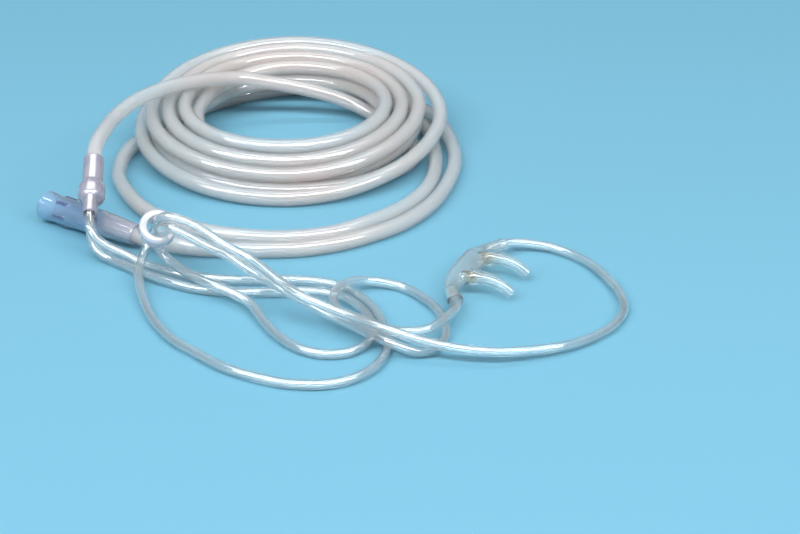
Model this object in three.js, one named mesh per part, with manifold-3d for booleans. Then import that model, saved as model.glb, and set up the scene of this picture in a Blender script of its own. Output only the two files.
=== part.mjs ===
// Nasal oxygen cannula: two-prong nosepiece, headset tubes, slider, collar, coiled supply tube, connector.
// Millimetres, +Z up, the floor at z = 0. The source connector lies along X with its mouth facing -X.
import * as THREE from 'three';
import { mergeVertices } from 'three/addons/utils/BufferGeometryUtils.js';
import Module from 'manifold-3d';

const wasm = await Module();
wasm.setup();

// Tubes
const SUPPLY_OD = 6.0;
const HEADSET_OD = 3.3;
const TUBE_GAP = 0.3;
const SUPPLY_SIDES = 12;
const HEADSET_SIDES = 8;
const PATH_STEPS_PER_POINT = 2;

// Source connector: a tapered soft socket with a flared mouth and six grip ribs
const CONNECTOR_MOUTH = [-89.6, -26.1, 5.8];
const CONNECTOR_LENGTH = 44.6;
const CONNECTOR_MOUTH_RADIUS = 5.75;
const CONNECTOR_BODY_RADIUS = 5.15;
const CONNECTOR_STEP_RADIUS = 4.95;
const CONNECTOR_END_RADIUS = 3.8;
const CONNECTOR_FLARE_LENGTH = 6;
const CONNECTOR_SOCKET_DEPTH = 27;
const SOCKET_MOUTH_RADIUS = 4.9;
const SOCKET_START_RADIUS = 4.2;
const SOCKET_END_RADIUS = 3.75;
const RIB_COUNT = 6;
const RIB_START = 8;
const RIB_LENGTH = 5.5;
const RIB_WIDTH = 1.4;
const RIB_HEIGHT = 0.5;

// Collar: the junction between the supply tube and the two headset tubes
const COLLAR_TOP = [-71.7, -17.4, 26];
const COLLAR_AXIS = [0.523, -0.707, -0.479];
const COLLAR_LENGTH = 26;
const COLLAR_SLEEVE_RADIUS = 3.8;
const COLLAR_BODY_RADIUS = 5.0;
const COLLAR_BODY_START = 11;
const COLLAR_BODY_END = 17.5;
const COLLAR_NECK_START = 20.5;
const COLLAR_WALL = 0.5;
const COLLAR_SUPPLY_DEPTH = 13;
const COLLAR_CAVITY_END = 17;
const COLLAR_OUTLET_OFFSET = 2.15;
const COLLAR_OUTLET_DEPTH = 7;

// Slider: a short soft ring around both headset tubes
const SLIDER_RIM = [-22.3, -39.3, 21.5];
const SLIDER_AXIS = [0.54, -0.396, 0.743];
const SLIDER_LENGTH = 6;
const SLIDER_RADIUS = 6.6;
const SLIDER_EDGE = 1.2;
const SLIDER_TUBE_OFFSET = 1.85;
const SLIDER_BORE_RADIUS = SLIDER_TUBE_OFFSET + HEADSET_OD / 2 + TUBE_GAP + 0.05;
const SLIDER_TRAVEL = 3;

// Nosepiece: flattened bow body with an end sleeve on each side and two curved hollow prongs
const NOSE_CENTRE = [73.2, 21.4, 0];
const NOSE_TURN = 10;
const NOSE_TILT = 20;
const SLEEVE_END = [-1, 23, 4.2];
const SLEEVE_TURN = 33;
const SLEEVE_DEPTH = 8.5;
const SLEEVE_RADIUS = 2.5;
const SLEEVE_BEAD_RADIUS = 2.8;
const NOSE_WALL = 0.8;
const PRONG_SPACING = 15.6;
const PRONG_BASE_RADIUS = 2.55;
const PRONG_TIP_RADIUS = 2.05;
const PRONG_WALL = 0.65;
const PRONG_BOSS_RADIUS = 3.2;

// Supply coil: the outer shape of the wound turns, leaning on the two loose loops at the back
const COIL_CENTRE = [-56.6, 82.4];
const COIL_INNER_RADIUS = 35;
const COIL_OUTER_RADIUS = 64;
const COIL_HEIGHT = 17;
const COIL_EDGE = 3;
const COIL_SHOULDER = 7;
const COIL_LEAN = 3.5;
const VIEW_TURN = 33.73;

const v3 = (p) => new THREE.Vector3(p[0], p[1], p[2]);
const collarAxis = v3(COLLAR_AXIS).normalize();
const sliderAxis = v3(SLIDER_AXIS).normalize();

// The direction at right angles to an axis that points most nearly up
function upAcross(axis) {
  const up = new THREE.Vector3(0, 0, 1);
  return up.addScaledVector(axis, -up.dot(axis)).normalize();
}

// A point beside an axis: so far along it and so far up across it
function beside(start, axis, along, across) {
  const p = v3(start).addScaledVector(axis, along).addScaledVector(upAcross(axis), across);
  return [p.x, p.y, p.z];
}

const inCollar = (along, across) => beside(COLLAR_TOP, collarAxis, along, across);
const inSlider = (along, across) => beside(SLIDER_RIM, sliderAxis, along, across);

// The straight run of one headset tube, from behind the slider's travel to just past its rim
function sliderRun(across) {
  const lowest = -SLIDER_LENGTH - SLIDER_TRAVEL - 0.5;
  const stops = [lowest, lowest * 0.66, lowest * 0.33, 0.5];
  return stops.map((along) => inSlider(along, across));
}

// The first straight run of one headset tube inside the collar
function collarRun(across) {
  const stops = [-COLLAR_OUTLET_DEPTH, -COLLAR_OUTLET_DEPTH / 2, 0, 1.5];
  return stops.map((along) => inCollar(COLLAR_LENGTH + along, across));
}

// A place in the nosepiece's own frame, turned and moved to where it lies
function nosePlace(p) {
  const turn = THREE.MathUtils.degToRad(NOSE_TURN);
  const q = v3(p).applyAxisAngle(new THREE.Vector3(0, 0, 1), turn).add(v3(NOSE_CENTRE));
  return [q.x, q.y, q.z];
}

// A point on the axis of one end sleeve, so far in from its end (negative is outside)
function sleevePoint(side, depth) {
  const turn = THREE.MathUtils.degToRad(SLEEVE_TURN);
  const x = SLEEVE_END[0] - depth * Math.sin(turn);
  const y = SLEEVE_END[1] - depth * Math.cos(turn);
  return [x, side * y, SLEEVE_END[2]];
}

const sleeveRun = (side) => [-3, 0, SLEEVE_DEPTH / 2, SLEEVE_DEPTH].map((d) => nosePlace(sleevePoint(side, d)));

// Routes of the tubes, each a list of centreline points
const TUBE_A_FLOOR = [
  [-53.8, -40.6, 11.8], [-51.3, -40.6, 8.8], [-47.3, -39.1, 6], [-40.8, -36.6, 3.4],
  [-32.3, -36.1, 1.9], [-16.8, -35.1, 1.9], [-8.3, -32.1, 1.9], [2.2, -27.1, 1.9], [11.7, -20.6, 1.9],
  [20.2, -15.1, 1.9], [31.2, -11.1, 1.9], [39.2, -11.6, 1.9], [50.2, -15.6, 1.9], [58.7, -21.6, 1.9],
  [66.7, -29.6, 1.9], [72.2, -37.1, 1.9], [74.7, -44.1, 1.9], [75.2, -52.6, 1.9], [73.2, -59.6, 1.9],
  [68.7, -66.1, 1.9], [59.7, -72.1, 1.9], [48.2, -75.1, 1.9], [34.7, -76.1, 1.9], [21.7, -74.1, 1.9],
  [9.7, -71.6, 1.9], [-3.3, -65.6, 1.9], [-15.3, -57.1, 2.4], [-26.8, -46.6, 4.9], [-29.2, -42.4, 6.1],
  [-31, -38.2, 8], [-30.9, -34.8, 11.5]
];
const TUBE_A_HEADSET = [
  [-17.7, -39.4, 26.3], [-11.7, -36.9, 25], [-5.9, -34.9, 22.4], [4.2, -34.6, 18.9],
  [12.7, -33.6, 16.5], [28.2, -36.6, 13.4], [38.2, -38.6, 12], [46.2, -37.6, 10.5], [54.7, -36.6, 9.3],
  [72.7, -37.1, 9.2], [83.2, -34.6, 7.5], [92.2, -30.6, 5.8], [101.2, -26.1, 5], [106.7, -22.1, 4.5],
  [114.2, -13.6, 3.5], [121.2, -3.1, 2.5], [125.2, 8.4, 1.8], [126.7, 19.4, 1.8], [124.2, 30.4, 1.8],
  [117.7, 39.4, 1.8], [108.2, 46.9, 1.8], [96.7, 53.4, 1.8], [83.2, 55.4, 2.2], [73.7, 51.4, 3.2]
];
const TUBE_B_FLOOR = [
  [-55.8, -38.6, 8.9], [-53.8, -40.1, 5.4], [-49.8, -40.6, 3.1], [-43.8, -40.6, 2], [-36.8, -41.1, 2],
  [-28.8, -42.1, 2], [-10.8, -41.1, 2], [-2.3, -39.1, 2], [7.7, -34.1, 2], [20.2, -25.6, 1.9],
  [27.2, -20.1, 1.9], [35.2, -17.1, 1.9], [40.7, -17.1, 1.9], [46.7, -18.6, 1.9], [54.2, -22.6, 1.9],
  [60.7, -28.6, 1.9], [64.7, -37.1, 1.9], [63.2, -45.6, 1.9], [57.7, -51.1, 1.9], [48.2, -53.1, 1.9],
  [36.7, -50.1, 1.9], [26.2, -44.6, 2], [17.2, -40.1, 3.5], [5.7, -40.1, 5.5], [-3.8, -40.1, 6],
  [-13.3, -37.7, 5.5], [-17.8, -36.5, 5.7], [-22.3, -35.5, 6.6], [-26.3, -35.1, 9]
];
const TUBE_B_HEADSET = [
  [-15.2, -41.8, 23.8], [-8.7, -40.2, 21.8], [-3.1, -37.5, 18.4], [3.7, -33.6, 14.6],
  [14.7, -33.6, 11.6], [26.7, -34.6, 9.6], [37.7, -35.1, 7.6], [48.7, -35.6, 6], [56.7, -36.1, 5.5],
  [65.2, -37.6, 5.5], [74.7, -38.6, 5.5], [79.7, -36.6, 3.8], [83.2, -33.1, 2.2], [85.2, -27.6, 1.8],
  [84.2, -20.6, 1.8], [80.7, -14.6, 1.8], [74.7, -8.1, 1.8], [66.7, -3.1, 1.8], [52.2, 0.9, 1.8],
  [42.2, -4.6, 3.5], [39.7, -12.1, 5.5], [39.2, -19.1, 5.5], [42.2, -25.6, 5.5], [48.7, -30.6, 5.5],
  [54.7, -32.1, 5.5], [64.2, -32.1, 5.5], [73.2, -30.6, 5.5], [79.7, -24.6, 5.5], [80.7, -16.6, 5.5],
  [79.7, -8.6, 4.8]
];
const SUPPLY_TAIL = [
  [-38.8, -26.1, 5.8], [-31.8, -23.6, 5], [-23.8, -19.1, 3.8], [-14.8, -13.1, 3.2], [-3.3, -6.1, 3.2],
  [7.7, 2.4, 3.2], [16.2, 12.9, 3.2], [22.2, 24.9, 3.2], [26.7, 38.9, 3.2], [27.2, 58.4, 3.2],
  [22.2, 78.9, 3.2], [13.2, 98.4, 3.2], [0.2, 114.9, 3.2], [-21.8, 132.9, 3.2], [-49.3, 136.4, 3.2],
  [-78.8, 128.4, 3.2], [-96.3, 107.4, 3.2], [-104.8, 81.9, 3.2], [-105.3, 55.9, 3.2],
  [-101.3, 32.4, 3.2], [-90.3, 14.9, 3.2], [-82.8, 7.9, 3.2], [-58.3, -5.1, 3.2], [-30.8, -6.1, 3.2],
  [-9.3, 1.4, 3.2], [2.2, 9.4, 3.2], [10.7, 19.9, 3.2], [16.2, 33.9, 3.2], [19.7, 48.9, 3.2],
  [18.7, 67.4, 3.2], [11.7, 85.9, 3.2], [-2.8, 106.9, 3.2], [-13.8, 118.4, 3.2], [-27.3, 125.4, 3.2]
];
const SUPPLY_LEAD = [
  [-74.8, -13, 27.9], [-77.8, -8.4, 28.3], [-83.3, 1.6, 28], [-89.3, 12.9, 27], [-94.3, 28.9, 26.5],
  [-96.3, 44.9, 25.5], [-93.3, 63.9, 24], [-85.8, 83.4, 21], [-73.8, 98.4, 16], [-57.7, 109, 11.5],
  [-48.6, 115, 7.2], [-36.4, 115.8, 3.9], [-26.9, 112.3, 3.2]
];

// A smooth path whose steps follow its points, so that tight bends get shorter steps
class Route extends THREE.CatmullRomCurve3 {
  getUtoTmapping(u) {
    return u;
  }
}

function clean(geometry) {
  geometry.deleteAttribute('normal');
  geometry.deleteAttribute('uv');
  return mergeVertices(geometry, 1e-5);
}

function tube(points, radius, sides, steps) {
  const shape = new THREE.Shape();
  for (let i = 0; i < sides; i += 1) {
    const a = (2 * Math.PI * (i + 0.5)) / sides;
    const reach = radius / Math.cos(Math.PI / sides / 2);
    if (i === 0) {
      shape.moveTo(reach * Math.cos(a), reach * Math.sin(a));
    } else {
      shape.lineTo(reach * Math.cos(a), reach * Math.sin(a));
    }
  }
  shape.closePath();
  const extrudePath = new Route(points.map(v3));
  return clean(new THREE.ExtrudeGeometry(shape, { steps, bevelEnabled: false, extrudePath }));
}

const pathSteps = (points) => (points.length - 1) * PATH_STEPS_PER_POINT;

// A closed solid of revolution about Z from [radius, height] pairs
function turned(profile, segments) {
  const points = profile.map((p) => new THREE.Vector2(p[0], p[1]));
  return clean(new THREE.LatheGeometry(points, segments).rotateX(Math.PI / 2));
}

// A closed skin over rings that all have the same number of points
function skin(rings) {
  const count = rings[0].length;
  const positions = rings.flat().flatMap((p) => [p.x, p.y, p.z]);
  const index = [];
  for (let r = 0; r < rings.length - 1; r += 1) {
    for (let i = 0; i < count; i += 1) {
      const a = r * count + i;
      const b = r * count + ((i + 1) % count);
      index.push(a, b, b + count, a, b + count, a + count);
    }
  }
  const last = (rings.length - 1) * count;
  for (let i = 1; i < count - 1; i += 1) {
    index.push(0, i + 1, i);
    index.push(last, last + i, last + i + 1);
  }
  const geometry = new THREE.BufferGeometry();
  geometry.setAttribute('position', new THREE.Float32BufferAttribute(positions, 3));
  geometry.setIndex(index);
  return geometry;
}

// An oval ring about a centre: half width along `side`, half height along `up`
function ovalRing(centre, side, up, halfWidth, halfHeight, count) {
  const ring = [];
  for (let i = 0; i < count; i += 1) {
    const a = (2 * Math.PI * i) / count;
    const p = centre.clone();
    p.addScaledVector(side, halfWidth * Math.cos(a));
    p.addScaledVector(up, halfHeight * Math.sin(a));
    ring.push(p);
  }
  return ring;
}

function solid(geometry) {
  const vertProperties = Float32Array.from(geometry.getAttribute('position').array);
  const triVerts = Uint32Array.from(geometry.getIndex().array);
  const mesh = new wasm.Mesh({ numProp: 3, vertProperties, triVerts });
  mesh.merge();
  const result = new wasm.Manifold(mesh);
  return result.volume() < 0 ? solid(flipped(geometry)) : result;
}

function flipped(geometry) {
  const index = Array.from(geometry.getIndex().array);
  for (let i = 0; i < index.length; i += 3) {
    [index[i], index[i + 1]] = [index[i + 1], index[i]];
  }
  const copy = geometry.clone();
  copy.setIndex(index);
  return copy;
}

function surface(manifold) {
  const mesh = manifold.getMesh();
  const geometry = new THREE.BufferGeometry();
  geometry.setAttribute('position', new THREE.Float32BufferAttribute(Array.from(mesh.vertProperties), 3));
  geometry.setIndex(Array.from(mesh.triVerts));
  return geometry;
}

// Turn a geometry made about Z so that Z follows `axis`, Y points most nearly up, and move it to `start`
function aimed(geometry, start, axis) {
  const up = upAcross(axis);
  const side = new THREE.Vector3().crossVectors(up, axis);
  const frame = new THREE.Matrix4().makeBasis(side, up, axis).setPosition(v3(start));
  return geometry.applyMatrix4(frame);
}

// Source connector
function buildConnector() {
  const rim = 0.8;
  const outer = [
    [SOCKET_MOUTH_RADIUS, 0], [CONNECTOR_MOUTH_RADIUS - 0.3, 0], [CONNECTOR_MOUTH_RADIUS, rim / 2],
    [CONNECTOR_MOUTH_RADIUS - 0.1, rim * 2], [CONNECTOR_BODY_RADIUS, CONNECTOR_FLARE_LENGTH],
    [CONNECTOR_BODY_RADIUS, RIB_START + RIB_LENGTH], [CONNECTOR_STEP_RADIUS, CONNECTOR_SOCKET_DEPTH],
    [CONNECTOR_END_RADIUS + 0.1, CONNECTOR_LENGTH - 0.6], [CONNECTOR_END_RADIUS, CONNECTOR_LENGTH]
  ];
  const tubeBore = SUPPLY_OD / 2 + TUBE_GAP;
  const inner = [
    [tubeBore, CONNECTOR_LENGTH], [tubeBore, CONNECTOR_SOCKET_DEPTH + 1],
    [SOCKET_END_RADIUS, CONNECTOR_SOCKET_DEPTH], [SOCKET_START_RADIUS, CONNECTOR_FLARE_LENGTH / 2]
  ];
  let body = solid(turned([...outer, ...inner, outer[0]], 48));
  const ribReach = CONNECTOR_BODY_RADIUS + RIB_HEIGHT;
  for (let i = 0; i < RIB_COUNT; i += 1) {
    const rib = new THREE.BoxGeometry(RIB_WIDTH, 1.2, RIB_LENGTH);
    rib.translate(0, ribReach - 0.6, RIB_START + RIB_LENGTH / 2);
    rib.rotateZ((2 * Math.PI * (i + 0.5)) / RIB_COUNT);
    body = body.add(solid(clean(rib)));
  }
  return aimed(surface(body), CONNECTOR_MOUTH, new THREE.Vector3(1, 0, 0));
}

// Collar
function stadium(halfWidth, halfHeight, from, to) {
  const shape = new THREE.Shape();
  const centre = halfHeight - halfWidth;
  shape.absarc(0, centre, halfWidth, 0, Math.PI, false);
  shape.absarc(0, -centre, halfWidth, Math.PI, 2 * Math.PI, false);
  shape.closePath();
  const geometry = new THREE.ExtrudeGeometry(shape, { depth: to - from, bevelEnabled: false, curveSegments: 12 });
  return solid(clean(geometry.translate(0, 0, from)));
}

function rod(radius, x, y, from, to, segments) {
  const geometry = new THREE.CylinderGeometry(radius, radius, to - from, segments);
  return solid(clean(geometry.rotateX(Math.PI / 2).translate(x, y, (from + to) / 2)));
}

function buildCollar() {
  const outletBore = HEADSET_OD / 2 + TUBE_GAP;
  const neckHalfWidth = outletBore + COLLAR_WALL;
  const neckHalfHeight = COLLAR_OUTLET_OFFSET + neckHalfWidth;
  const profile = [
    [0, 0], [COLLAR_SLEEVE_RADIUS, 0], [COLLAR_SLEEVE_RADIUS, COLLAR_BODY_START],
    [COLLAR_BODY_RADIUS - 0.4, COLLAR_BODY_START + 1.2], [COLLAR_BODY_RADIUS, COLLAR_BODY_START + 2.6],
    [COLLAR_BODY_RADIUS, COLLAR_BODY_END], [COLLAR_BODY_RADIUS - 0.6, COLLAR_BODY_END + 1.3],
    [neckHalfWidth, COLLAR_NECK_START], [0, COLLAR_NECK_START]
  ];
  let body = solid(turned(profile, 48));
  body = body.add(stadium(neckHalfWidth, neckHalfHeight, COLLAR_BODY_END - 3, COLLAR_LENGTH));
  const supplyBore = SUPPLY_OD / 2 + TUBE_GAP;
  body = body.subtract(rod(supplyBore, 0, 0, -1, COLLAR_SUPPLY_DEPTH, 40));
  body = body.subtract(rod(SUPPLY_OD / 2 - 0.4, 0, 0, COLLAR_SUPPLY_DEPTH - 1, COLLAR_CAVITY_END, 32));
  for (const side of [-1, 1]) {
    const y = side * COLLAR_OUTLET_OFFSET;
    body = body.subtract(rod(outletBore, 0, y, COLLAR_CAVITY_END - 2, COLLAR_LENGTH + 1, 28));
  }
  return aimed(surface(body), COLLAR_TOP, collarAxis);
}

// Slider
function buildSlider() {
  const bore = SLIDER_BORE_RADIUS;
  const profile = [
    [bore, -SLIDER_EDGE / 2], [bore + SLIDER_EDGE / 2, 0], [SLIDER_RADIUS - SLIDER_EDGE, 0],
    [SLIDER_RADIUS - SLIDER_EDGE / 3, -SLIDER_EDGE / 3], [SLIDER_RADIUS, -SLIDER_EDGE],
    [SLIDER_RADIUS, -SLIDER_LENGTH + SLIDER_EDGE],
    [SLIDER_RADIUS - SLIDER_EDGE / 3, -SLIDER_LENGTH + SLIDER_EDGE / 3],
    [SLIDER_RADIUS - SLIDER_EDGE, -SLIDER_LENGTH], [bore + SLIDER_EDGE / 2, -SLIDER_LENGTH],
    [bore, -SLIDER_LENGTH + SLIDER_EDGE / 2], [bore, -SLIDER_EDGE / 2]
  ];
  return aimed(surface(solid(turned(profile, 40))), SLIDER_RIM, sliderAxis);
}

// Nosepiece
const BODY_STATIONS = [
  { y: 13.6, x: -6.2, z: 4.5, halfWidth: 2.9, halfHeight: 2.4, turn: 24 },
  { y: 10.8, x: -6.2, z: 5.1, halfWidth: 3.7, halfHeight: 2.3, turn: 8 },
  { y: 7.8, x: -5.7, z: 5.6, halfWidth: 4.3, halfHeight: 2.3, turn: 3 },
  { y: 0, x: -5.4, z: 6.0, halfWidth: 4.4, halfHeight: 2.2, turn: 0 }
];

function bodyRings(wall, bore, extra) {
  const count = 24;
  const rings = [];
  const up = new THREE.Vector3(0, 0, 1);
  const addRing = (centre, turnDegrees, tiltDegrees, halfWidth, halfHeight) => {
    const turn = THREE.MathUtils.degToRad(turnDegrees);
    const tilt = THREE.MathUtils.degToRad(tiltDegrees);
    const flat = new THREE.Vector3(-Math.cos(turn), Math.sin(turn), 0);
    const side = flat.clone().multiplyScalar(Math.cos(tilt)).addScaledVector(up, Math.sin(tilt));
    const rise = up.clone().multiplyScalar(Math.cos(tilt)).addScaledVector(flat, -Math.sin(tilt));
    rings.push(ovalRing(v3(centre), side, rise, halfWidth, halfHeight, count));
  };
  const sleeve = (side) => {
    const beadEnd = bore ? SLEEVE_DEPTH : 2;
    const stops = [
      [-extra, bore || SLEEVE_BEAD_RADIUS], [beadEnd * 0.75, bore || SLEEVE_BEAD_RADIUS],
      [beadEnd, bore || SLEEVE_RADIUS], [SLEEVE_DEPTH + 0.2, bore ? bore * 0.8 : SLEEVE_RADIUS]
    ];
    const ordered = side < 0 ? stops : stops.slice().reverse();
    for (const [depth, radius] of ordered) {
      addRing(sleevePoint(side, depth), side * SLEEVE_TURN, 0, radius, radius);
    }
  };
  const station = (s, side) => {
    const tilt = NOSE_TILT * (1 - s.turn / 40);
    addRing([s.x, side * s.y, s.z], side * s.turn, tilt, s.halfWidth - wall, s.halfHeight - wall);
  };
  sleeve(-1);
  for (const s of BODY_STATIONS) {
    station(s, -1);
  }
  for (const s of BODY_STATIONS.slice(0, -1).reverse()) {
    station(s, 1);
  }
  sleeve(1);
  return rings;
}

// Centreline of one prong from inside the body to the tip
const PRONG_PATH = [[-4.5, 5.4], [0, 6.3], [4, 6.8], [8, 6.1], [11.4, 4.6], [14, 2.7]];

function prongRings(side, radii) {
  const y = (side * PRONG_SPACING) / 2;
  const curve = new THREE.CatmullRomCurve3(PRONG_PATH.map((p) => new THREE.Vector3(p[0], y, p[1])));
  const rings = [];
  const across = new THREE.Vector3(0, 1, 0);
  for (const [t, radius] of radii) {
    const tangent = curve.getTangentAt(Math.min(t, 1));
    const centre = curve.getPointAt(Math.min(t, 1));
    if (t > 1) {
      centre.addScaledVector(tangent, t - 1);
    }
    const rise = new THREE.Vector3().crossVectors(tangent, across);
    rings.push(ovalRing(centre, across, rise, radius, radius, 20));
  }
  return rings;
}

function prongRadii(shrink, endAt) {
  const radii = [];
  for (let i = 0; i <= 12; i += 1) {
    const t = i / 12;
    radii.push([t, PRONG_BASE_RADIUS + (PRONG_TIP_RADIUS - PRONG_BASE_RADIUS) * t - shrink]);
  }
  if (endAt > 1) {
    radii.push([endAt, PRONG_TIP_RADIUS - shrink]);
  }
  return radii;
}

function buildNosepiece() {
  let body = solid(skin(bodyRings(0, 0, 0)));
  let hollow = solid(skin(bodyRings(NOSE_WALL, HEADSET_OD / 2 + TUBE_GAP, 1)));
  for (const side of [-1, 1]) {
    body = body.add(solid(skin(prongRings(side, prongRadii(0, 1)))));
    const boss = [[0.1, PRONG_BASE_RADIUS], [0.16, PRONG_BOSS_RADIUS], [0.26, PRONG_BOSS_RADIUS], [0.31, PRONG_BASE_RADIUS]];
    body = body.add(solid(skin(prongRings(side, boss))));
    hollow = hollow.add(solid(skin(prongRings(side, prongRadii(PRONG_WALL, 2)))));
  }
  const geometry = surface(body.subtract(hollow));
  geometry.rotateZ(THREE.MathUtils.degToRad(NOSE_TURN));
  return geometry.translate(NOSE_CENTRE[0], NOSE_CENTRE[1], NOSE_CENTRE[2]);
}

// Supply coil and its two free ends
const tailPoints = [
  [CONNECTOR_MOUTH[0] + CONNECTOR_SOCKET_DEPTH + 1.5, CONNECTOR_MOUTH[1], CONNECTOR_MOUTH[2]],
  [CONNECTOR_MOUTH[0] + CONNECTOR_LENGTH - 8, CONNECTOR_MOUTH[1], CONNECTOR_MOUTH[2]],
  [CONNECTOR_MOUTH[0] + CONNECTOR_LENGTH + 1, CONNECTOR_MOUTH[1], CONNECTOR_MOUTH[2]],
  ...SUPPLY_TAIL
];
const leadPoints = [COLLAR_SUPPLY_DEPTH - 0.5, COLLAR_SUPPLY_DEPTH / 2, 0, -2]
  .map((along) => inCollar(along, 0)).concat(SUPPLY_LEAD);

function buildCoil() {
  const profile = [
    [COIL_INNER_RADIUS, COIL_EDGE], [COIL_INNER_RADIUS + COIL_EDGE, 0], [COIL_OUTER_RADIUS - COIL_EDGE, 0],
    [COIL_OUTER_RADIUS, COIL_EDGE], [COIL_OUTER_RADIUS, COIL_HEIGHT - COIL_SHOULDER],
    [COIL_OUTER_RADIUS - COIL_SHOULDER, COIL_HEIGHT], [COIL_INNER_RADIUS + COIL_EDGE, COIL_HEIGHT],
    [COIL_INNER_RADIUS, COIL_HEIGHT - COIL_EDGE], [COIL_INNER_RADIUS, COIL_EDGE]
  ];
  const lean = THREE.MathUtils.degToRad(COIL_LEAN);
  const turn = THREE.MathUtils.degToRad(VIEW_TURN);
  const lift = COIL_OUTER_RADIUS * Math.sin(lean) + TUBE_GAP;
  const ring = turned(profile, 72).rotateX(lean).rotateZ(turn).translate(COIL_CENTRE[0], COIL_CENTRE[1], lift);
  const groove = SUPPLY_OD / 2 + TUBE_GAP;
  const body = solid(ring)
    .subtract(solid(tube(tailPoints, groove, SUPPLY_SIDES, pathSteps(tailPoints))))
    .subtract(solid(tube(leadPoints, groove, SUPPLY_SIDES, pathSteps(leadPoints))));
  return surface(body);
}

const tubeAPoints = [
  ...collarRun(COLLAR_OUTLET_OFFSET), ...TUBE_A_FLOOR, ...sliderRun(SLIDER_TUBE_OFFSET),
  ...TUBE_A_HEADSET, ...sleeveRun(1)
];
const tubeBPoints = [
  ...collarRun(-COLLAR_OUTLET_OFFSET), ...TUBE_B_FLOOR, ...sliderRun(-SLIDER_TUBE_OFFSET),
  ...TUBE_B_HEADSET, ...sleeveRun(-1)
];

function piece(name, geometry, color, roughness) {
  const material = new THREE.MeshStandardMaterial({ color, roughness, metalness: 0 });
  material.name = name + '_material';
  const mesh = new THREE.Mesh(geometry, material);
  mesh.name = name;
  return mesh;
}

const object = new THREE.Group();
object.name = 'nasal_oxygen_cannula';
object.add(piece('nosepiece', buildNosepiece(), 0xd8e4e2, 0.2));
object.add(piece('headset_tube_a', tube(tubeAPoints, HEADSET_OD / 2, HEADSET_SIDES, pathSteps(tubeAPoints)), 0xd4e2ea, 0.2));
object.add(piece('headset_tube_b', tube(tubeBPoints, HEADSET_OD / 2, HEADSET_SIDES, pathSteps(tubeBPoints)), 0xd4e2ea, 0.2));
object.add(piece('slider', buildSlider(), 0xe6e9f0, 0.35));
object.add(piece('collar', buildCollar(), 0xa9a9b8, 0.3));
object.add(piece('supply_lead', tube(leadPoints, SUPPLY_OD / 2, SUPPLY_SIDES, pathSteps(leadPoints)), 0xd9dad8, 0.35));
object.add(piece('supply_coil', buildCoil(), 0xdbd8d5, 0.35));
object.add(piece('supply_tail', tube(tailPoints, SUPPLY_OD / 2, SUPPLY_SIDES, pathSteps(tailPoints)), 0xd9dad8, 0.35));
object.add(piece('source_connector', buildConnector(), 0x6fa0cc, 0.25));

export default object;
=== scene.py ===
# %% [markdown]
# # A nasal oxygen cannula
#
# The real object is soft clear vinyl throughout: one thick supply tube wound into a flat bundle, two thin
# headset tubes, and four small mouldings (source connector, collar, slider, nosepiece). Nearly everything that
# the eye reads is light passing through walls and running along tubes, so the tubes here have a real bore.

# %%
import math

import bpy
import numpy as np
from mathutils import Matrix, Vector


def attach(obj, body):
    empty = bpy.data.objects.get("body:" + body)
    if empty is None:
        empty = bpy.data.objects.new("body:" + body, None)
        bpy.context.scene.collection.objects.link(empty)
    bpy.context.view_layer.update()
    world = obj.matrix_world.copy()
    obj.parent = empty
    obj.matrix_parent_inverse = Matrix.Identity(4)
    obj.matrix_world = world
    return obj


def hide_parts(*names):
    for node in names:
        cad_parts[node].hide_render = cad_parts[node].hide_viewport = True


MM = 0.001
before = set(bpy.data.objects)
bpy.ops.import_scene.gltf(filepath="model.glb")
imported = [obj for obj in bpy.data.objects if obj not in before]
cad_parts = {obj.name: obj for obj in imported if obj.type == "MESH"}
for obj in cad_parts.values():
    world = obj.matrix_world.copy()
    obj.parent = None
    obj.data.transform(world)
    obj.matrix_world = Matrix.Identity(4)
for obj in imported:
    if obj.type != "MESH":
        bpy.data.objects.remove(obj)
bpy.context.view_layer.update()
print("CAD nodes:", ", ".join(sorted(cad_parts)))

# %% [markdown]
# ## Camera
#
# The photograph was taken from the front right and a little above, with a long lens. The camera stands at the
# same place in the shared frame, found by matching tube outlines, so every piece lands on its own pixels.

# %%
CAMERA_AT = Vector((358.2, -457.9, 302.6)) * MM
LOOK_AT = Vector((42.2, 15.4, 0.0)) * MM
camera = bpy.data.objects.new("camera", bpy.data.cameras.new("camera"))
camera.data.sensor_width = 36
camera.data.lens = 81
camera.location = CAMERA_AT
camera.rotation_euler = (LOOK_AT - CAMERA_AT).to_track_quat("-Z", "Y").to_euler()
bpy.context.scene.collection.objects.link(camera)
bpy.context.scene.camera = camera

# %% [markdown]
# ## Where the tubes lie
#
# Each route is a list of centreline points in millimetres, the same ones that the solids follow.
# A centripetal Catmull-Rom curve runs through them: it passes each point and doesn't overshoot between points
# that stand close together, which a plain Bezier handle would do at the tight bends by the slider.

# %%
COLLAR_TOP = [-71.7, -17.4, 26]
COLLAR_AXIS = [0.523, -0.707, -0.479]
COLLAR_LENGTH = 26
SLIDER_RIM = [-22.3, -39.3, 21.5]
SLIDER_AXIS = [0.54, -0.396, 0.743]
SLIDER_REACH = -9.5
MOUTH = [-89.6, -26.1, 5.8]
NOSE_CENTRE = [73.2, 21.4, 0]
NOSE_TURN = math.radians(10)
SLEEVE_END = [-1, 23, 4.2]
SLEEVE_TURN = math.radians(33)


def beside(start, axis, along, across):
    axis = np.array(axis) / np.linalg.norm(axis)
    up = np.array([0, 0, 1]) - axis * axis[2]
    return np.array(start) + axis * along + up / np.linalg.norm(up) * across


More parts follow.
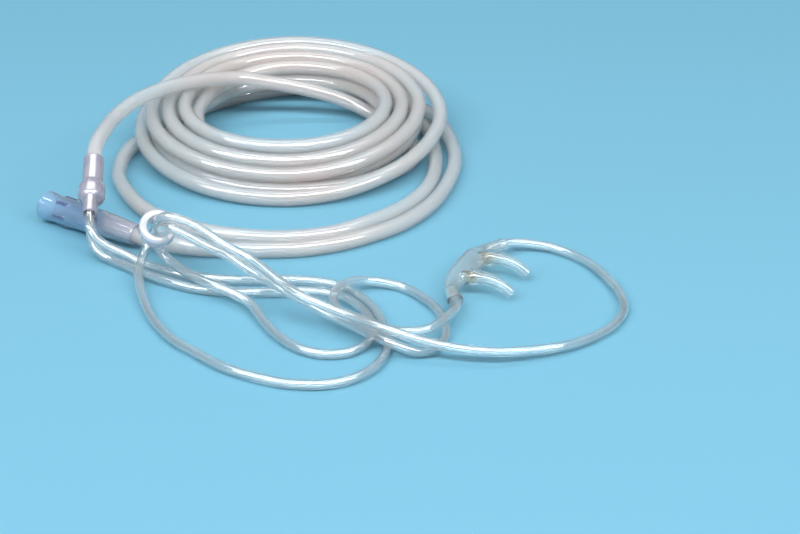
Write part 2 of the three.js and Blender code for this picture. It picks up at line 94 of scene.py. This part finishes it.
def sleeve_run(side):
    """The straight end of a headset tube inside the nosepiece's sleeve."""
    run = []
    for depth in (-3, 0, 4.25, 8.2):
        x = SLEEVE_END[0] - depth * math.sin(SLEEVE_TURN)
        y = side * (SLEEVE_END[1] - depth * math.cos(SLEEVE_TURN))
        c, s = math.cos(NOSE_TURN), math.sin(NOSE_TURN)
        run.append([x * c - y * s + NOSE_CENTRE[0], x * s + y * c + NOSE_CENTRE[1], SLEEVE_END[2]])
    return run


def through_slider(across):
    stops = [SLIDER_REACH, SLIDER_REACH * 0.66, SLIDER_REACH * 0.33, 0.5]
    return [beside(SLIDER_RIM, SLIDER_AXIS, s, across) for s in stops]


def out_of_collar(across):
    return [beside(COLLAR_TOP, COLLAR_AXIS, COLLAR_LENGTH + s, across) for s in (-6.8, -3.5, 0, 1.5)]


TUBE_A_FLOOR = [
    [-53.8, -40.6, 11.8], [-51.3, -40.6, 8.8], [-47.3, -39.1, 6], [-40.8, -36.6, 3.4],
    [-32.3, -36.1, 1.9], [-16.8, -35.1, 1.9], [-8.3, -32.1, 1.9], [2.2, -27.1, 1.9], [11.7, -20.6, 1.9],
    [20.2, -15.1, 1.9], [31.2, -11.1, 1.9], [39.2, -11.6, 1.9], [50.2, -15.6, 1.9], [58.7, -21.6, 1.9],
    [66.7, -29.6, 1.9], [72.2, -37.1, 1.9], [74.7, -44.1, 1.9], [75.2, -52.6, 1.9], [73.2, -59.6, 1.9],
    [68.7, -66.1, 1.9], [59.7, -72.1, 1.9], [48.2, -75.1, 1.9], [34.7, -76.1, 1.9], [21.7, -74.1, 1.9],
    [9.7, -71.6, 1.9], [-3.3, -65.6, 1.9], [-15.3, -57.1, 2.4], [-26.8, -46.6, 4.9], [-29.2, -42.4, 6.1],
    [-31, -38.2, 8], [-30.9, -34.8, 11.5]
]
TUBE_A_HEADSET = [
    [-17.7, -39.4, 26.3], [-11.7, -36.9, 25], [-5.9, -34.9, 22.4], [4.2, -34.6, 18.9],
    [12.7, -33.6, 16.5], [28.2, -36.6, 13.4], [38.2, -38.6, 12], [46.2, -37.6, 10.5], [54.7, -36.6, 9.3],
    [72.7, -37.1, 9.2], [83.2, -34.6, 7.5], [92.2, -30.6, 5.8], [101.2, -26.1, 5], [106.7, -22.1, 4.5],
    [114.2, -13.6, 3.5], [121.2, -3.1, 2.5], [125.2, 8.4, 1.8], [126.7, 19.4, 1.8], [124.2, 30.4, 1.8],
    [117.7, 39.4, 1.8], [108.2, 46.9, 1.8], [96.7, 53.4, 1.8], [83.2, 55.4, 2.2], [73.7, 51.4, 3.2]
]
TUBE_B_FLOOR = [
    [-55.8, -38.6, 8.9], [-53.8, -40.1, 5.4], [-49.8, -40.6, 3.1], [-43.8, -40.6, 2], [-36.8, -41.1, 2],
    [-28.8, -42.1, 2], [-10.8, -41.1, 2], [-2.3, -39.1, 2], [7.7, -34.1, 2], [20.2, -25.6, 1.9],
    [27.2, -20.1, 1.9], [35.2, -17.1, 1.9], [40.7, -17.1, 1.9], [46.7, -18.6, 1.9], [54.2, -22.6, 1.9],
    [60.7, -28.6, 1.9], [64.7, -37.1, 1.9], [63.2, -45.6, 1.9], [57.7, -51.1, 1.9], [48.2, -53.1, 1.9],
    [36.7, -50.1, 1.9], [26.2, -44.6, 2], [17.2, -40.1, 3.5], [5.7, -40.1, 5.5], [-3.8, -40.1, 6],
    [-13.3, -37.7, 5.5], [-17.8, -36.5, 5.7], [-22.3, -35.5, 6.6], [-26.3, -35.1, 9]
]
TUBE_B_HEADSET = [
    [-15.2, -41.8, 23.8], [-8.7, -40.2, 21.8], [-3.1, -37.5, 18.4], [3.7, -33.6, 14.6],
    [14.7, -33.6, 11.6], [26.7, -34.6, 9.6], [37.7, -35.1, 7.6], [48.7, -35.6, 6], [56.7, -36.1, 5.5],
    [65.2, -37.6, 5.5], [74.7, -38.6, 5.5], [79.7, -36.6, 3.8], [83.2, -33.1, 2.2], [85.2, -27.6, 1.8],
    [84.2, -20.6, 1.8], [80.7, -14.6, 1.8], [74.7, -8.1, 1.8], [66.7, -3.1, 1.8], [52.2, 0.9, 1.8],
    [42.2, -4.6, 3.5], [39.7, -12.1, 5.5], [39.2, -19.1, 5.5], [42.2, -25.6, 5.5], [48.7, -30.6, 5.5],
    [54.7, -32.1, 5.5], [64.2, -32.1, 5.5], [73.2, -30.6, 5.5], [79.7, -24.6, 5.5], [80.7, -16.6, 5.5],
    [79.7, -8.6, 4.8]
]
SUPPLY_TAIL = [
    [-38.8, -26.1, 5.8], [-31.8, -23.6, 5], [-23.8, -19.1, 3.8], [-14.8, -13.1, 3.2], [-3.3, -6.1, 3.2],
    [7.7, 2.4, 3.2], [16.2, 12.9, 3.2], [22.2, 24.9, 3.2], [26.7, 38.9, 3.2], [27.2, 58.4, 3.2],
    [22.2, 78.9, 3.2], [13.2, 98.4, 3.2], [0.2, 114.9, 3.2], [-21.8, 132.9, 3.2], [-49.3, 136.4, 3.2],
    [-78.8, 128.4, 3.2], [-96.3, 107.4, 3.2], [-104.8, 81.9, 3.2], [-105.3, 55.9, 3.2],
    [-101.3, 32.4, 3.2], [-90.3, 14.9, 3.2], [-82.8, 7.9, 3.2], [-58.3, -5.1, 3.2], [-30.8, -6.1, 3.2],
    [-9.3, 1.4, 3.2], [2.2, 9.4, 3.2], [10.7, 19.9, 3.2], [16.2, 33.9, 3.2], [19.7, 48.9, 3.2],
    [18.7, 67.4, 3.2], [11.7, 85.9, 3.2], [-2.8, 106.9, 3.2], [-13.8, 118.4, 3.2], [-27.3, 125.4, 3.2]
]
SUPPLY_LEAD = [
    [-74.8, -13, 27.9], [-77.8, -8.4, 28.3], [-83.3, 1.6, 28], [-89.3, 12.9, 27], [-94.3, 28.9, 26.5],
    [-96.3, 44.9, 25.5], [-93.3, 63.9, 24], [-85.8, 83.4, 21], [-73.8, 98.4, 16], [-57.7, 109, 11.5],
    [-48.6, 115, 7.2], [-36.4, 115.8, 3.9], [-26.9, 112.3, 3.2]
]

tube_a = out_of_collar(2.15) + TUBE_A_FLOOR + through_slider(1.85) + TUBE_A_HEADSET + sleeve_run(1)
tube_b = out_of_collar(-2.15) + TUBE_B_FLOOR + through_slider(-1.85) + TUBE_B_HEADSET + sleeve_run(-1)
print("headset routes:", len(tube_a), "and", len(tube_b), "points")

# %% [markdown]
# ## The wound bundle
#
# The supply tube lies in rough layers whose turns step across each other on one side. The photograph shows about
# four tubes at the front, which are matched. How many turns lie under them is a guess: these fill the bundle's
# width and height, and so the tube's length is a guess too. Each turn is given by its radius and height at the front, right, back and left of the ring, in the
# ring's own leaning frame, and the loop below blends between them. The lowest turn at the end runs inwards
# under the right side and leaves as the lead; the loose loop climbs in at the back.

# %%
COIL_CENTRE = [-56.6, 82.4]
COIL_LEAN = math.radians(3.5)
COIL_TURN = math.radians(33.73)
COIL_LIFT = 64 * math.sin(COIL_LEAN) + 0.3
TURNS = [
    [(90, 59.5, 6), (180, 60.6, 5), (270, 61, 2.9)],
    [(360, 61.4, 8.8), (450, 60.4, 12.4), (540, 56.2, 11.2), (630, 52.4, 8.2)],
    [(720, 52.6, 12.4), (810, 53, 12.8), (900, 49.2, 12.2), (990, 45.2, 10.2)],
    [(1080, 45.6, 12.4), (1170, 45.5, 12.4), (1260, 42.4, 13.6), (1350, 38.8, 13.4)],
    [(1440, 38.9, 13.2), (1530, 38.5, 11.4), (1620, 37.6, 8.6), (1710, 38.3, 7.3)],
    [(1800, 38.3, 7), (1890, 39, 4.4), (1980, 41.2, 3.2), (2070, 42.9, 2.9)],
    [(2160, 45.2, 5.6), (2250, 46, 6.2), (2340, 48, 4.8), (2430, 49, 2.9)],
    [(2520, 51.6, 6.6), (2610, 53, 6.4), (2700, 54.4, 4.6), (2790, 55, 2.8)],
    [(2835, 56.2, 2)],
]
POINT_STEP = 15


def in_ring(degrees, radius, height):
    a = math.radians(degrees)
    x, y = radius * math.cos(a), radius * math.sin(a)
    y, z = y * math.cos(COIL_LEAN) - height * math.sin(COIL_LEAN), y * math.sin(COIL_LEAN) + height
    c, s = math.cos(COIL_TURN), math.sin(COIL_TURN)
    return [x * c - y * s + COIL_CENTRE[0], x * s + y * c + COIL_CENTRE[1], z + COIL_LIFT]


def on_floor(degrees, radius, height):
    a = math.radians(degrees) + COIL_TURN
    return [COIL_CENTRE[0] + radius * math.cos(a), COIL_CENTRE[1] + radius * math.sin(a), height]


def wound_points():
    stations = [station for turn in TURNS for station in turn]
    points = []
    for (a, r0, z0), (b, r1, z1) in zip(stations, stations[1:]):
        steps = round((b - a) / POINT_STEP)
        for i in range(steps):
            u = i / steps
            w = u * u * (3 - 2 * u)
            points.append(in_ring(a + (b - a) * u, r0 + (r1 - r0) * w, z0 + (z1 - z0) * w))
    return points + [in_ring(*stations[-1])]


into_connector = [[MOUTH[0] + s, MOUTH[1], MOUTH[2]] for s in (28.5, 36.6, 45.6)]
climb = [on_floor(38, 51.8, 6.8), on_floor(56, 55, 11.2)]
dive = [on_floor(-31, 56.4, 3.2), on_floor(-17, 53, 3.2), on_floor(-4, 47.6, 3.2)]
into_collar = [beside(COLLAR_TOP, COLLAR_AXIS, s, 0) for s in (-2, 0, 6.5, 12.5)]
supply = into_connector + SUPPLY_TAIL + climb + wound_points() + dive + SUPPLY_LEAD[::-1] + into_collar
print("supply route:", len(supply), "points")

# %% [markdown]
# ## A tube with a bore
#
# The photograph shows bright double lines along each tube, probably from its two walls. A solid rod of glass acts
# as one strong lens and looks wrong, so each tube gets an outer wall and a bore that meet at both ends. The supply
# tube's bore has soft lobes, as some oxygen tubing does; no open end is seen, so they're a guess. Mesh code makes it, because a swept curve can't close an
# outer wall onto its bore. The frame is carried along the path without twist.

# %%
def smooth_path(points, spacing):
    """Centripetal Catmull-Rom through the points, resampled to even spacing in metres."""
    p = np.array([np.array(q, float) for q in points]) * MM
    ends = np.vstack([2 * p[0] - p[1], p, 2 * p[-1] - p[-2]])
    out = []
    for i in range(len(p) - 1):
        p0, p1, p2, p3 = ends[i:i + 4]
        d0, d1, d2 = (max(np.linalg.norm(b - a), 1e-9) ** 0.5 for a, b in ((p0, p1), (p1, p2), (p2, p3)))
        t1 = ((p1 - p0) / d0 - (p2 - p0) / (d0 + d1) + (p2 - p1) / d1) * d1
        t2 = ((p2 - p1) / d1 - (p3 - p1) / (d1 + d2) + (p3 - p2) / d2) * d1
        u = np.linspace(0, 1, 24, endpoint=False)[:, None]
        out.append(p1 + t1 * u + (-3 * p1 + 3 * p2 - 2 * t1 - t2) * u ** 2 + (2 * p1 - 2 * p2 + t1 + t2) * u ** 3)
    fine = np.vstack(out + [p[-1:]])
    run = np.r_[0, np.cumsum(np.linalg.norm(np.diff(fine, axis=0), axis=1))]
    marks = np.linspace(0, run[-1], max(2, round(run[-1] / spacing)) + 1)
    return np.stack([np.interp(marks, run, fine[:, k]) for k in range(3)], axis=1), run[-1]


def carried_frames(path):
    """Two directions across the path at each point, carried along it without twist."""
    tangent = np.gradient(path, axis=0)
    tangent /= np.linalg.norm(tangent, axis=1)[:, None]
    first = np.cross(tangent[0], [0, 0, 1.0])
    first /= np.linalg.norm(first)
    side = [first]
    for t in tangent[1:]:
        s = side[-1] - t * np.dot(side[-1], t)
        side.append(s / np.linalg.norm(s))
    side = np.array(side)
    return side, np.cross(tangent, side)


def mesh_object(name, verts, faces, smooth=True):
    mesh = bpy.data.meshes.new(name)
    mesh.from_pydata([tuple(v) for v in verts], [], faces)
    mesh.validate()
    mesh.polygons.foreach_set("use_smooth", [smooth] * len(mesh.polygons))
    obj = bpy.data.objects.new(name, mesh)
    bpy.context.scene.collection.objects.link(obj)
    return obj


def bored_tube(name, points, outer, bore, lobes, lobe_height, sides, spacing):
    """Outer wall and lobed bore of one tube, closed onto each other at both ends."""
    path, length = smooth_path(points, spacing * MM)
    side, rise = carried_frames(path)
    a = np.arange(sides) * 2 * math.pi / sides
    radii = (np.full(sides, outer * MM), (bore + lobe_height * np.cos(lobes * a)) * MM)
    walls = []
    for radius in radii:
        across = side[:, None] * (radius * np.cos(a))[:, None]
        upwards = rise[:, None] * (radius * np.sin(a))[:, None]
        ring = path[:, None] + across + upwards
        walls.append(ring.reshape(-1, 3))
    count = len(path)
    half = count * sides
    faces = []
    for k in range(count - 1):
        for i in range(sides):
            p, q = k * sides + i, k * sides + (i + 1) % sides
            faces.append((p, q, q + sides, p + sides))
            faces.append((half + p, half + p + sides, half + q + sides, half + q))
    last = (count - 1) * sides
    for i in range(sides):
        j = (i + 1) % sides
        faces.append((i, half + i, half + j, j))
        faces.append((last + i, last + j, half + last + j, half + last + i))
    tube = mesh_object(name, np.vstack(walls), faces)
    print(name, "length", round(length, 3), "m,", len(faces), "faces")
    return tube, path, length


supply_tube, supply_path, supply_length = bored_tube(
    "supply_tube", supply, outer=3.0, bore=2.3, lobes=5, lobe_height=0.12, sides=30, spacing=3.0)
HEADSET = dict(outer=1.65, bore=1.2, lobes=0, lobe_height=0, sides=20, spacing=1.3)
headset_a, path_a, length_a = bored_tube("headset_a", tube_a, **HEADSET)
headset_b, path_b, length_b = bored_tube("headset_b", tube_b, **HEADSET)

# %% [markdown]
# ## The four mouldings
#
# A soft vinyl moulding has no sharp corner. The CAD solids already have the walls, bores and ribs, so each moulding starts as a copy of its solid, is remeshed to a fine even grid, and is relaxed so that
# the facets melt and every inside corner gets its small fillet.

# %%
def soft_moulding(node, voxel, rounds):
    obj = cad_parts[node].copy()
    obj.data = obj.data.copy()
    obj.name = node + "_soft"
    obj.parent = None
    obj.data.materials.clear()
    bpy.context.scene.collection.objects.link(obj)
    remesh = obj.modifiers.new("grid", "REMESH")
    remesh.mode = "VOXEL"
    remesh.voxel_size = voxel * MM
    relax = obj.modifiers.new("relax", "SMOOTH")
    relax.factor = 0.5
    relax.iterations = rounds
    graph = bpy.context.evaluated_depsgraph_get()
    mesh = bpy.data.meshes.new_from_object(obj.evaluated_get(graph))
    obj.modifiers.clear()
    obj.data = mesh
    mesh.polygons.foreach_set("use_smooth", [True] * len(mesh.polygons))
    print(obj.name, len(mesh.polygons), "faces")
    return obj


nosepiece = soft_moulding("nosepiece", voxel=0.28, rounds=6)
collar = soft_moulding("collar", voxel=0.22, rounds=8)
slider = soft_moulding("slider", voxel=0.25, rounds=10)
connector = soft_moulding("source_connector", voxel=0.27, rounds=5)

# %% [markdown]
# ## Shader maths in plain expressions
#
# A small wrapper lets node sockets be added and multiplied like numbers. Each operator makes one Math node.

# %%
class Value:
    """One number in a shader, as a node's output socket."""

    def __init__(self, made, socket):
        self.made = made
        self.socket = socket

    def _with(self, operation, *others):
        return self.made.math(operation, self, *others)

    def __add__(self, other):
        return self._with("ADD", other)

    def __radd__(self, other):
        return self._with("ADD", other)

    def __sub__(self, other):
        return self._with("SUBTRACT", other)

    def __rsub__(self, other):
        return self.made.math("SUBTRACT", other, self)

    def __mul__(self, other):
        return self._with("MULTIPLY", other)

    def __rmul__(self, other):
        return self._with("MULTIPLY", other)

    def __truediv__(self, other):
        return self._with("DIVIDE", other)

    def __pow__(self, other):
        return self._with("POWER", other)


class Made:
    """A material under construction."""

    def __init__(self, name):
        self.material = bpy.data.materials.new(name)
        self.material.use_nodes = True
        self.tree = self.material.node_tree
        self.shader = self.tree.nodes["Principled BSDF"]

    def node(self, kind, settings=None, **sockets):
        node = self.tree.nodes.new(kind)
        for key, value in (settings or {}).items():
            setattr(node, key, value)
        for key, value in sockets.items():
            self.feed(node.inputs[key.replace("_", " ")], value)
        return node

    def feed(self, socket, value):
        if isinstance(value, Value):
            self.tree.links.new(value.socket, socket)
        elif isinstance(value, bpy.types.NodeSocket):
            self.tree.links.new(value, socket)
        else:
            socket.default_value = value

    def math(self, operation, *values):
        node = self.tree.nodes.new("ShaderNodeMath")
        node.operation = operation
        for socket, value in zip(node.inputs, values):
            self.feed(socket, value)
        return Value(self, node.outputs[0])

    def position(self):
        coordinates = self.tree.nodes.new("ShaderNodeTexCoord")
        return coordinates.outputs["Object"]

    def axes(self):
        split = self.node("ShaderNodeSeparateXYZ", Vector=self.position())
        return [Value(self, split.outputs[k]) for k in "XYZ"]

    def noise(self, scale, detail=2.0):
        node = self.node("ShaderNodeTexNoise", Vector=self.position(), Scale=scale, Detail=detail)
        return Value(self, node.outputs["Factor"] if "Factor" in node.outputs else node.outputs["Fac"])

    def step(self, value, low, high):
        node = self.node("ShaderNodeMapRange", {"interpolation_type": "SMOOTHSTEP"})
        self.feed(node.inputs["Value"], value)
        node.inputs["From Min"].default_value = low
        node.inputs["From Max"].default_value = high
        return Value(self, node.outputs["Result"])

    def mix(self, factor, a, b):
        node = self.tree.nodes.new("ShaderNodeMix")
        node.data_type = "RGBA"
        self.feed(node.inputs[0], factor)
        for socket, value in ((node.inputs[6], a), (node.inputs[7], b)):
            self.feed(socket, value if isinstance(value, bpy.types.NodeSocket) else (*value, 1))
        return node.outputs[2]

    def bump(self, height, distance, strength):
        node = self.node("ShaderNodeBump", Height=height, Distance=distance, Strength=strength)
        self.feed(self.shader.inputs["Normal"], node.outputs["Normal"])

    def set(self, **sockets):
        for key, value in sockets.items():
            self.feed(self.shader.inputs[key.replace("_", " ")], value)
        return self.material


ROUGHNESS_SCALE = 160.0
SKIN_DEPTH = 0.02
SKIN_STRENGTH = 0.35


def vinyl(name, colour, transmission, ior, rough, rough_spread, coat, skin_scale=None):
    """Soft clear vinyl: light goes through, and the moulded skin over it is glossier than the inside."""
    made = Made(name)
    made.set(Base_Color=colour(made), Transmission_Weight=transmission, IOR=ior)
    made.set(Roughness=made.noise(ROUGHNESS_SCALE) * rough_spread + rough)
    if skin_scale:
        made.bump(made.noise(skin_scale, 3.0), SKIN_DEPTH * MM, SKIN_STRENGTH)
    made.set(Coat_Weight=1.0, Coat_IOR=coat, Coat_Roughness=0.04)
    return made.material


# %% [markdown]
# ## Materials
#
# Supply tube: cream where the vinyl is thick, with a pink cast here and blue-grey there. Headset tubes: nearly
# water clear. Collar: grey lilac. Connector: blue with purple grip ribs, paler over the tube. Nosepiece: clear,
# with a little amber where the prongs stand on it, as the photograph shows.
#
# Real soft vinyl has an index of about 1.5. These values were chosen for this light instead: a coat of 2.2 or
# 1.6 makes highlights as bright as the photograph's, and 1.12 inside the thin tubes and the nosepiece avoids the
# streaks that 1.48 gave. The supply tube scatters light and is partly see-through by its alpha.

# %%
def supply_colour(m):
    patch = m.step(m.noise(14.0, 1.0), 0.38, 0.62)
    streak = m.step(m.noise(60.0, 2.0), 0.4, 0.7)
    warm = m.mix(streak, (0.66, 0.60, 0.55), (0.68, 0.56, 0.54))
    return m.mix(patch, warm, (0.55, 0.59, 0.60))


def headset_colour(m):
    return m.mix(m.noise(25.0, 1.0), (0.95, 0.98, 0.99), (0.91, 0.97, 0.99))


def slider_colour(m):
    return m.mix(m.noise(120.0, 1.0), (0.82, 0.82, 0.86), (0.74, 0.76, 0.82))


def collar_colour(m):
    return m.mix(m.step(m.noise(150.0, 1.0), 0.35, 0.65), (0.42, 0.41, 0.50), (0.50, 0.49, 0.57))


def connector_colour(m):
    x, y, z = m.axes()
    radius = ((y - MOUTH[1] * MM) ** 2.0 + (z - MOUTH[2] * MM) ** 2.0) ** 0.5
    rib = m.step(radius, 5.3 * MM, 5.55 * MM) * m.step(x, (MOUTH[0] + 6) * MM, (MOUTH[0] + 8) * MM)
    over_tube = m.step(x, (MOUTH[0] + 25) * MM, (MOUTH[0] + 31) * MM)
    blue = m.mix(m.noise(110.0, 1.0), (0.42, 0.60, 0.80), (0.56, 0.72, 0.86))
    body = m.mix(over_tube, blue, (0.74, 0.77, 0.86))
    return m.mix(rib, body, (0.26, 0.22, 0.42))


def nose_colour(m):
    amber = m.node("ShaderNodeAttribute", {"attribute_name": "amber"})
    return m.mix(Value(m, amber.outputs["Fac"]), (0.97, 0.985, 0.98), (0.90, 0.70, 0.40))


TUBE_COAT = 2.2
MOULDING_COAT = 1.6
MATERIALS = {name: vinyl(name, *settings) for name, *settings in (
    # name, colour, transmission, index, roughness, its spread, coat index, scale of the skin's unevenness
    ("milky_tube_vinyl", supply_colour, 0.0, 1.45, 0.05, 0.04, TUBE_COAT),
    ("clear_tube_vinyl", headset_colour, 0.95, 1.12, 0.02, 0.01, TUBE_COAT),
    ("clear_soft_vinyl", slider_colour, 0.55, 1.48, 0.10, 0.08, MOULDING_COAT, 900.0),
    ("lilac_vinyl", collar_colour, 0.60, 1.30, 0.14, 0.10, MOULDING_COAT, 900.0),
    ("clear_nose_vinyl", nose_colour, 0.96, 1.12, 0.02, 0.03, MOULDING_COAT, 900.0),
    ("blue_vinyl", connector_colour, 0.85, 1.30, 0.10, 0.08, MOULDING_COAT, 800.0),
)}
milky = MATERIALS["milky_tube_vinyl"].node_tree.nodes["Principled BSDF"].inputs
milky["Subsurface Weight"].default_value = 1.0
milky["Alpha"].default_value = 0.38
milky["Subsurface Radius"].default_value = (1.0, 0.85, 0.75)
milky["Subsurface Scale"].default_value = 8 * MM
print(len(MATERIALS), "materials")

# %% [markdown]
# ## Amber at the prong roots
#
# The tint follows the shape, so it's kept as a number on each vertex: full within 2 mm of each
# prong's root, gone at 3.4 mm.

# %%
PRONG_ROOT = [-1.5, 7.8, 6.2]
AMBER_FULL = 2.0
AMBER_FADE = 1.4
AMBER_STRENGTH = 0.7


def prong_root(side):
    c, s = math.cos(NOSE_TURN), math.sin(NOSE_TURN)
    x, y = PRONG_ROOT[0], side * PRONG_ROOT[1]
    return np.array([x * c - y * s + NOSE_CENTRE[0], x * s + y * c + NOSE_CENTRE[1], PRONG_ROOT[2]]) * MM


count = len(nosepiece.data.vertices)
where = np.empty(count * 3)
nosepiece.data.vertices.foreach_get("co", where)
where = where.reshape(-1, 3)
near = np.min([np.linalg.norm(where - prong_root(side), axis=1) for side in (-1, 1)], axis=0)
tint = np.clip(1 - (near / MM - AMBER_FULL) / AMBER_FADE, 0, 1) * AMBER_STRENGTH
nosepiece.data.attributes.new("amber", "FLOAT", "POINT").data.foreach_set("value", tint)
print("amber vertices:", int((tint > 0).sum()))

# %% [markdown]
# ## Putting each piece on its body
#
# Each piece gets its material, hangs on a body and hides the CAD node that it replaces. The slider rides on its own
# body, because it moves.

# %%
def dress(obj, slot, body, *nodes):
    obj.data.materials.append(MATERIALS[slot])
    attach(obj, body)
    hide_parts(*nodes)


dress(supply_tube, "milky_tube_vinyl", "cannula", "supply_tail", "supply_coil", "supply_lead")
dress(headset_a, "clear_tube_vinyl", "cannula", "headset_tube_a")
dress(headset_b, "clear_tube_vinyl", "cannula", "headset_tube_b")
dress(nosepiece, "clear_nose_vinyl", "cannula", "nosepiece")
dress(collar, "lilac_vinyl", "cannula", "collar")
dress(slider, "clear_soft_vinyl", "slider", "slider")
dress(connector, "blue_vinyl", "cannula", "source_connector")


# %% [markdown]
# ## Floor and light
#
# A plain pale blue ground, as the photograph has. A wide soft box above the camera draws the long bright line on
# each tube, and a narrower one overhead draws the fainter second line.

# %%
def floor():
    s = 6.0
    ground = mesh_object("ground", [(-s, -s, 0), (s, -s, 0), (s, s, 0), (-s, s, 0)], [(0, 1, 2, 3)], False)
    ground.location.z = -0.0002
    m = Made("ground")
    m.set(Base_Color=m.mix(m.noise(3.0, 1.0), (0.112, 0.295, 0.400), (0.106, 0.285, 0.390)), Roughness=0.55)
    ground.data.materials.append(m.material)


def soft_box(name, place, size, watts, colour=(1, 1, 1)):
    data = bpy.data.lights.new(name, "AREA")
    data.shape = "RECTANGLE"
    data.size, data.size_y = size
    data.energy = watts
    data.color = colour
    light = bpy.data.objects.new(name, data)
    light.location = place
    light.rotation_euler = (Vector((0, 0.02, 0)) - light.location).to_track_quat("-Z", "Y").to_euler()
    bpy.context.scene.collection.objects.link(light)


floor()
soft_box("key_box", (0.54, -0.82, 1.46), (4.2, 0.34), 96)
soft_box("top_box", (-0.16, 0.24, 1.73), (2.4, 0.20), 12)
world = bpy.data.worlds.new("studio")
world.use_nodes = True
world.node_tree.nodes["Background"].inputs["Color"].default_value = (0.93, 0.96, 1.0, 1)
world.node_tree.nodes["Background"].inputs["Strength"].default_value = 0.30
bpy.context.scene.world = world
bpy.context.scene.view_settings.view_transform = "Standard"
